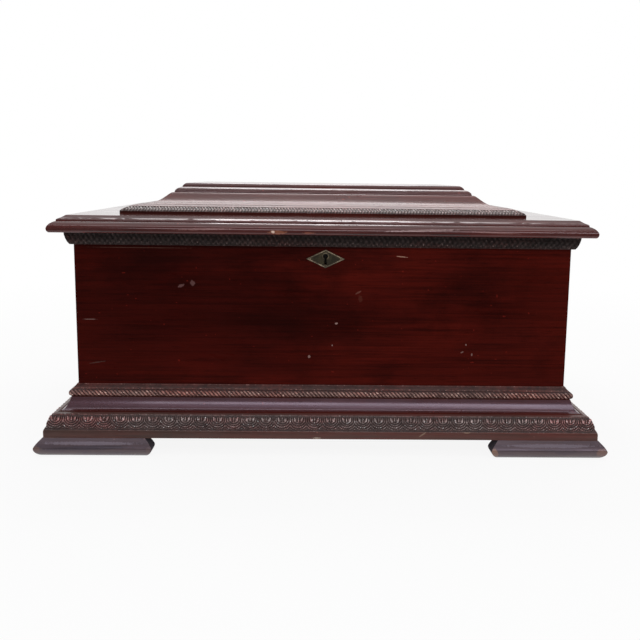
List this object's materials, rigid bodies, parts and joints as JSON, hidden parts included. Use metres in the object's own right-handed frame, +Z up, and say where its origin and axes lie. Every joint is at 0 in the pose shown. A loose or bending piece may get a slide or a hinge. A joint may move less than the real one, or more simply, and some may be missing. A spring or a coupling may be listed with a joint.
{
  "type": "disc music box",
  "caption": "Table-top disc music box: carved chest on bracket feet with a domed hinged lid over a spring-driven disc and comb movement.",
  "frame": {"origin": "centre of the footprint on the surface the feet stand on", "axes": "+X to the viewer's right across the front, +Y to the back, +Z up; the keyhole faces -Y"},
  "size_m": [0.736, 0.5555, 0.345],
  "materials": {
    "mahogany_panel": "french polished",
    "mahogany_carved": "stained and waxed",
    "mahogany_moulding": "french polished",
    "mahogany_lid": "french polished",
    "plain_wood": "unfinished",
    "aged_brass": "aged",
    "brass": "lacquered",
    "lock_steel": "worn",
    "steel": "ground",
    "disc_steel": "rolled",
    "gilt_iron": "bronze painted",
    "nickel": "nickel plated",
    "turned_wood": "ebonised"
  },
  "bodies": {
    "case": {"front_panel": "mahogany_panel", "back_panel": "mahogany_panel", "left_panel": "mahogany_panel", "right_panel": "mahogany_panel", "bottom_board": "plain_wood", "plinth_front": "mahogany_moulding", "plinth_left": "mahogany_moulding", "plinth_right": "mahogany_moulding", "rope_front": "mahogany_carved", "rope_left": "mahogany_carved", "rope_right": "mahogany_carved", "neck_front": "mahogany_carved", "neck_left": "mahogany_carved", "neck_right": "mahogany_carved", "foot_front_left": "mahogany_moulding", "foot_front_right": "mahogany_moulding", "foot_rear_left": "mahogany_moulding", "foot_rear_right": "mahogany_moulding", "escutcheon": "aged_brass", "lock_case": "lock_steel", "hinge_case_leaves": "aged_brass", "bedplate_bearers": "plain_wood", "bedplate": "gilt_iron", "bedplate_screws": "steel", "comb_front": "steel", "comb_rear": "steel", "comb_screws": "steel", "star_gantry": "brass", "dampers": "steel", "motor_plate": "gilt_iron", "motor_pillars": "steel", "bar_post": "nickel"},
    "lid": {"lid_frame": "mahogany_lid", "lid_stage": "mahogany_carved", "lid_cove": "mahogany_lid", "lid_top": "mahogany_lid", "hinge_lid_leaves": "aged_brass", "lock_link_plate": "lock_steel"},
    "bolt": {"lock_bolt": "lock_steel"},
    "disc_drive": {"disc": "disc_steel", "drive_hub": "steel"},
    "barrel": {"spring_barrel": "brass", "barrel_cover": "brass", "mainspring": "steel"},
    "winder": {"winding_arbor": "steel", "ratchet_wheel": "steel", "crank_arm": "nickel"},
    "knob": {"crank_knob": "turned_wood"},
    "click": {"click": "steel"},
    "intermediate": {"intermediate_wheel": "brass"},
    "second": {"second_wheel": "brass"},
    "third": {"third_wheel": "brass"},
    "fan": {"governor_fan": "brass"},
    "stars": {"star_wheels": "steel"},
    "stop": {"stop_lever": "nickel"},
    "bar": {"hold_down_bar": "nickel"},
    "inner_roller": {"roller_inner": "steel"},
    "outer_roller": {"roller_outer": "steel"}
  },
  "joints": [
    {"name": "lid_hinge", "type": "hinge", "parent": "case", "child": "lid", "pos_m": [0, 0.27425, 0.28315], "axis": [-1, 0, 0], "range_deg": [0, 95]},
    {"name": "lock_bolt_slide", "type": "slide", "parent": "case", "child": "bolt", "axis": [1, 0, 0], "range_m": [0, 0.005]},
    {"name": "disc_turn", "type": "hinge", "parent": "case", "child": "disc_drive", "pos_m": [-0.04, 0.02025, 0.222], "axis": [0, 0, 1], "continuous": true},
    {"name": "barrel_turn", "type": "hinge", "parent": "case", "child": "barrel", "pos_m": [0.15004, -0.11282, 0.13], "axis": [0, 0, 1], "continuous": true},
    {"name": "intermediate_turn", "type": "hinge", "parent": "case", "child": "intermediate", "pos_m": [0.07595, -0.05178, 0.13], "axis": [0, 0, 1], "continuous": true},
    {"name": "second_turn", "type": "hinge", "parent": "case", "child": "second", "pos_m": [-0.05641, 0.11331, 0.13], "axis": [0, 0, 1], "continuous": true},
    {"name": "third_turn", "type": "hinge", "parent": "case", "child": "third", "pos_m": [-0.0153, 0.12828, 0.13], "axis": [0, 0, 1], "continuous": true},
    {"name": "fan_turn", "type": "hinge", "parent": "case", "child": "fan", "pos_m": [0.01759, 0.14025, 0.13], "axis": [0, 0, 1], "continuous": true},
    {"name": "star_turn", "type": "hinge", "parent": "case", "child": "stars", "pos_m": [-0.12, 0.02025, 0.2144], "axis": [1, 0, 0], "continuous": true},
    {"name": "crank_turn", "type": "hinge", "parent": "case", "child": "winder", "pos_m": [0.15004, -0.11282, 0.236], "axis": [0, 0, 1], "continuous": true},
    {"name": "crank_knob_spin", "type": "hinge", "parent": "winder", "child": "knob", "pos_m": [0.18504, -0.17344, 0.26], "axis": [0, 0, 1], "continuous": true},
    {"name": "click_rock", "type": "hinge", "parent": "case", "child": "click", "pos_m": [0.18951, -0.09845, 0.194], "axis": [0, 0, -1], "range_deg": [0, 12]},
    {"name": "stop_lever_swing", "type": "hinge", "parent": "case", "child": "stop", "pos_m": [0.262, 0.04, 0.193], "axis": [0, 0, 1], "range_deg": [0, 20]},
    {"name": "hold_down_bar_lift", "type": "hinge", "parent": "case", "child": "bar", "pos_m": [-0.278, 0.02025, 0.233], "axis": [0, -1, 0], "range_deg": [0, 14]},
    {"name": "inner_roller_spin", "type": "hinge", "parent": "bar", "child": "inner_roller", "pos_m": [-0.15, 0.02025, 0.2263], "axis": [1, 0, 0], "continuous": true},
    {"name": "outer_roller_spin", "type": "hinge", "parent": "bar", "child": "outer_roller", "pos_m": [-0.245, 0.02025, 0.2263], "axis": [1, 0, 0], "continuous": true}
  ],
  "couplings": [
    {"joint": "barrel_turn", "follows": "disc_turn", "ratio": 0.22857},
    {"joint": "intermediate_turn", "follows": "disc_turn", "ratio": -1.6},
    {"joint": "second_turn", "follows": "disc_turn", "ratio": -8},
    {"joint": "third_turn", "follows": "disc_turn", "ratio": 48},
    {"joint": "fan_turn", "follows": "disc_turn", "ratio": -288},
    {"joint": "star_turn", "follows": "disc_turn", "ratio": 0.625},
    {"joint": "inner_roller_spin", "follows": "disc_turn", "ratio": -36.667},
    {"joint": "outer_roller_spin", "follows": "disc_turn", "ratio": -68.333}
  ]
}
